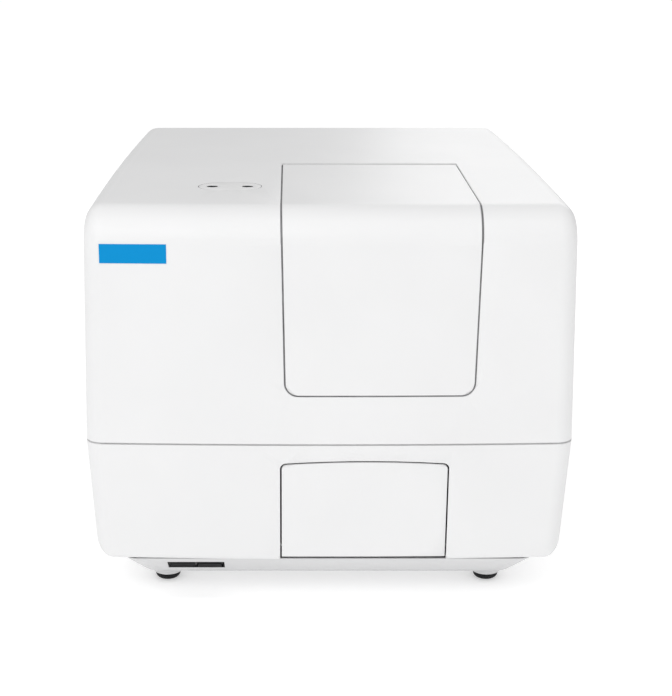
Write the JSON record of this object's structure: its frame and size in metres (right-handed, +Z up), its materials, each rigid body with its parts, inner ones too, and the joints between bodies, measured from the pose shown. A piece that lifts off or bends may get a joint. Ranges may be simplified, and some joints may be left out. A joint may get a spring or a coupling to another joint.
{
  "type": "microplate reader",
  "caption": "Bench microplate reader: white moulded casing with a curved hinged access door on top, a drop-down plate door, sliding plate carrier, reading head, monochromators and rear sockets.",
  "frame": {"origin": "on the bench, under the middle of the casing", "axes": "+X to the reader's right seen from the front, +Y to the back, +Z up"},
  "size_m": [0.402, 0.472, 0.34],
  "materials": {
    "cover_plastic": "fine-textured warm white, satin",
    "base_plastic": "fine-textured light grey, satin",
    "liner_plastic": "smooth light grey",
    "black_plastic": "fine-textured black",
    "control_plastic": "dark grey, half gloss",
    "rubber": "black moulded rubber",
    "steel": "brushed",
    "aluminium": "satin milled",
    "black_metal": "black anodised",
    "brass": "plain turned",
    "glass": "clear polished",
    "board": "green solder mask",
    "tube": "milky fluoropolymer"
  },
  "bodies": {
    "instrument": {"upper_cover": "cover_plastic", "lower_housing": "cover_plastic", "base_pan": "base_plastic", "rubber_feet": "rubber", "chassis_plate": "aluminium", "upper_door_pin": "steel", "lower_door_hinges": "steel", "carrier_rails": "steel", "rail_blocks": "aluminium", "idler_bracket": "steel", "drive_belt": "rubber", "drive_motor": "black_metal", "motor_bracket": "steel", "chamber_walls": "black_plastic", "chamber_lid": "aluminium", "head_brackets": "aluminium", "head_rails": "steel", "head_motor": "black_metal", "bay_liner": "liner_plastic", "cube_socket": "black_plastic", "optics_deck": "aluminium", "emission_housing": "black_metal", "excitation_housing": "black_metal", "lamp_housing": "aluminium", "xenon_lamp": "glass", "detector_housing": "black_metal", "rear_panel": "steel", "power_inlet": "black_plastic", "inlet_pins": "brass", "usb_socket": "steel", "dispenser_sockets": "steel", "fan_frame": "black_plastic", "power_supply": "steel", "main_board": "board", "board_standoffs": "aluminium", "switch_bezel": "black_plastic", "injector_port_plate": "liner_plastic", "injector_ferrules": "black_plastic", "injector_tubes": "tube"},
    "upper_door": {"upper_door": "cover_plastic", "upper_door_liner": "liner_plastic"},
    "lower_door": {"lower_door": "cover_plastic", "lower_door_liner": "liner_plastic"},
    "carrier": {"carrier_frame": "black_metal", "carrier_bushes": "brass", "belt_clamp": "black_plastic"},
    "plate_lever": {"plate_lever": "steel"},
    "drive_pulley": {"drive_pulley": "aluminium"},
    "idler_pulley": {"idler_pulley": "aluminium"},
    "reading_head": {"read_head": "aluminium", "lens_barrel": "black_metal"},
    "head_screw": {"head_screw": "steel"},
    "filter_cube": {"filter_cube": "black_metal", "cube_filters": "glass"},
    "emission_grating": {"emission_grating": "black_metal"},
    "excitation_grating": {"excitation_grating": "black_metal"},
    "fan_rotor": {"fan_rotor": "black_plastic"},
    "power_rocker": {"power_rocker": "control_plastic"},
    "eject_button": {"eject_button": "control_plastic"}
  },
  "joints": [
    {"name": "upper_door_hinge", "type": "hinge", "parent": "instrument", "child": "upper_door", "pos_m": [0.04, -0.014, 0.3362], "axis": [-1, 0, 0], "range_deg": [0, 95]},
    {"name": "carrier_slide", "type": "slide", "parent": "instrument", "child": "carrier", "axis": [0, -1, 0], "range_m": [0, 0.19]},
    {"name": "lower_door_hinge", "type": "hinge", "parent": "instrument", "child": "lower_door", "pos_m": [0.029, -0.22345, 0.0503], "axis": [1, 0, 0], "range_deg": [-0.5, 88.5]},
    {"name": "plate_lever_pivot", "type": "hinge", "parent": "carrier", "child": "plate_lever", "pos_m": [0.071, -0.04552, 0.096], "axis": [0, 0, 1], "range_deg": [0, 12], "stiffness_Nm_per_rad": 0.05},
    {"name": "drive_pulley_spin", "type": "hinge", "parent": "instrument", "child": "drive_pulley", "pos_m": [0.029, 0.088, 0.078], "axis": [1, 0, 0], "range_deg": [-20, 1400]},
    {"name": "idler_pulley_spin", "type": "hinge", "parent": "instrument", "child": "idler_pulley", "pos_m": [0.029, -0.206, 0.078], "axis": [1, 0, 0], "range_deg": [-20, 1400]},
    {"name": "head_slide", "type": "slide", "parent": "instrument", "child": "reading_head", "axis": [1, 0, 0], "range_m": [-0.05, 0.05]},
    {"name": "head_screw_spin", "type": "hinge", "parent": "instrument", "child": "head_screw", "pos_m": [0.029, -0.105, 0.142], "axis": [1, 0, 0], "range_deg": [-2300, 2300]},
    {"name": "filter_cube_lift", "type": "slide", "parent": "instrument", "child": "filter_cube", "axis": [0, 0, 1], "range_m": [0, 0.045]},
    {"name": "emission_grating_turn", "type": "hinge", "parent": "instrument", "child": "emission_grating", "pos_m": [-0.121, -0.028, 0.18], "axis": [0, 0, 1], "range_deg": [-30, 30]},
    {"name": "excitation_grating_turn", "type": "hinge", "parent": "instrument", "child": "excitation_grating", "pos_m": [-0.121, 0.066, 0.18], "axis": [0, 0, 1], "range_deg": [-30, 30]},
    {"name": "fan_spin", "type": "hinge", "parent": "instrument", "child": "fan_rotor", "pos_m": [-0.104, 0.224, 0.097], "axis": [0, 1, 0], "continuous": true},
    {"name": "power_rocker_pivot", "type": "hinge", "parent": "instrument", "child": "power_rocker", "pos_m": [-0.12405, -0.2078, 0.03234], "axis": [1, 0, 0], "range_deg": [-7, 7]},
    {"name": "eject_button_press", "type": "slide", "parent": "instrument", "child": "eject_button", "axis": [0, 0.6402, 0.7682], "range_m": [0, 0.0025], "stiffness_N_per_m": 400}
  ],
  "couplings": [
    {"joint": "lower_door_hinge", "follows": "carrier_slide", "rad_per_m": 8.0836},
    {"joint": "drive_pulley_spin", "follows": "carrier_slide", "rad_per_m": 125},
    {"joint": "idler_pulley_spin", "follows": "carrier_slide", "rad_per_m": 125},
    {"joint": "head_screw_spin", "follows": "head_slide", "rad_per_m": 785.4}
  ]
}
